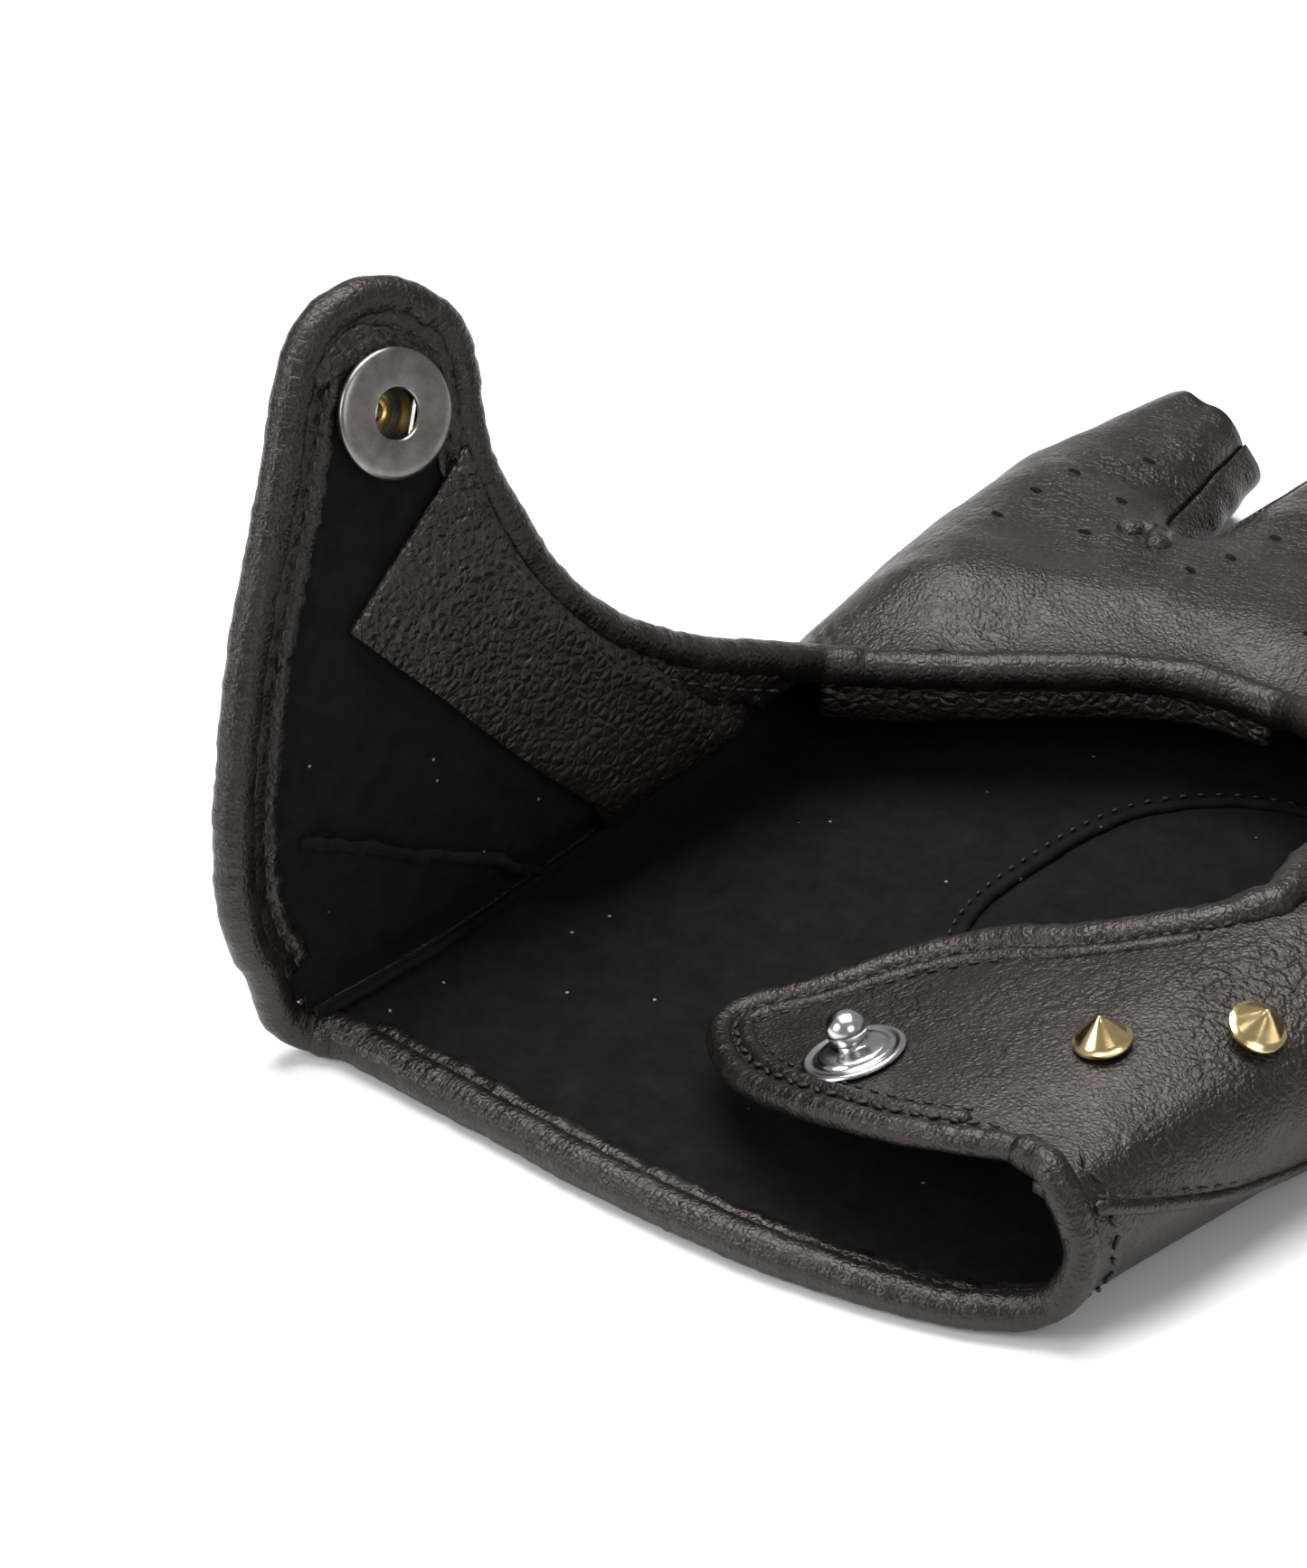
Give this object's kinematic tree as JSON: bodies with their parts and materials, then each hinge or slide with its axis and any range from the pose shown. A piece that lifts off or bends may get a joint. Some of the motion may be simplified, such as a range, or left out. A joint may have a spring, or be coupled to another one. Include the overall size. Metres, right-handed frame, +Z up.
{
  "type": "fingerless glove",
  "caption": "Left fingerless driving glove lying on its palm: open keyhole back, wrist strap that folds over and snaps shut on a side tab, short open finger tubes.",
  "frame": {"origin": "on the table under the middle of the glove's overall box", "axes": "+X wrist to fingers, +Y little-finger side, +Z up off the palm"},
  "size_m": [0.1516, 0.1332, 0.0686],
  "materials": {
    "leather_black": "semi-matt fine-grain glove leather, suede inside",
    "leather_binding": "semi-matt rolled glove leather",
    "leather_grain": "pebbled grain leather with cut edges",
    "pale_gold": "polished pale gold plate",
    "brass": "bright raw brass",
    "nickel": "polished nickel plate",
    "gunmetal": "warm satin gunmetal plate",
    "spring_steel": "bright drawn spring wire"
  },
  "bodies": {
    "hand": {"palm_panel": "leather_black", "back_panel": "leather_black", "thumb_gusset": "leather_black", "thumb_panel": "leather_black", "fourchette_index_middle": "leather_black", "fourchette_middle_ring": "leather_black", "fourchette_ring_little": "leather_black", "wrist_binding": "leather_binding", "corner_binding": "leather_binding", "keyhole_binding": "leather_binding", "keyhole_facing": "leather_grain", "cone_stud_2": "pale_gold", "cone_rivet_2": "brass"},
    "tab": {"tab_panel": "leather_black", "tab_binding": "leather_binding", "snap_stud": "nickel", "snap_stud_eyelet": "brass", "cone_stud_1": "pale_gold", "cone_rivet_1": "brass"},
    "strap": {"strap_panel": "leather_black", "strap_binding": "leather_binding", "strap_patch": "leather_grain", "snap_socket": "gunmetal", "snap_cap_post": "brass", "snap_cap": "gunmetal", "cone_stud_3": "pale_gold", "cone_rivet_3": "brass", "cone_stud_4": "pale_gold", "cone_rivet_4": "brass", "cone_stud_5": "pale_gold", "cone_rivet_5": "brass"},
    "wire_left": {"spring_wire_left": "spring_steel"},
    "wire_right": {"spring_wire_right": "spring_steel"}
  },
  "joints": [
    {"name": "strap_fold", "type": "hinge", "parent": "hand", "child": "strap", "pos_m": [-0.06718, 0.05181, 0.00695], "axis": [0.9896, -0.0901, 0.1118], "range_deg": [-30, 94]},
    {"name": "tab_press", "type": "hinge", "parent": "hand", "child": "tab", "pos_m": [-0.05094, -0.0251, 0.01685], "axis": [0.9916, 0.0829, 0.099], "range_deg": [-1, 0]},
    {"name": "wire_left_spread", "type": "slide", "parent": "strap", "child": "wire_left", "axis": [0.8503, -0.2941, -0.4365], "range_m": [0, 0.0003], "stiffness_N_per_m": 200},
    {"name": "wire_right_spread", "type": "slide", "parent": "strap", "child": "wire_right", "axis": [-0.8503, 0.2941, 0.4365], "range_m": [0, 0.0003], "stiffness_N_per_m": 200}
  ],
  "couplings": [
    {"joint": "wire_right_spread", "follows": "wire_left_spread", "ratio": 1}
  ]
}
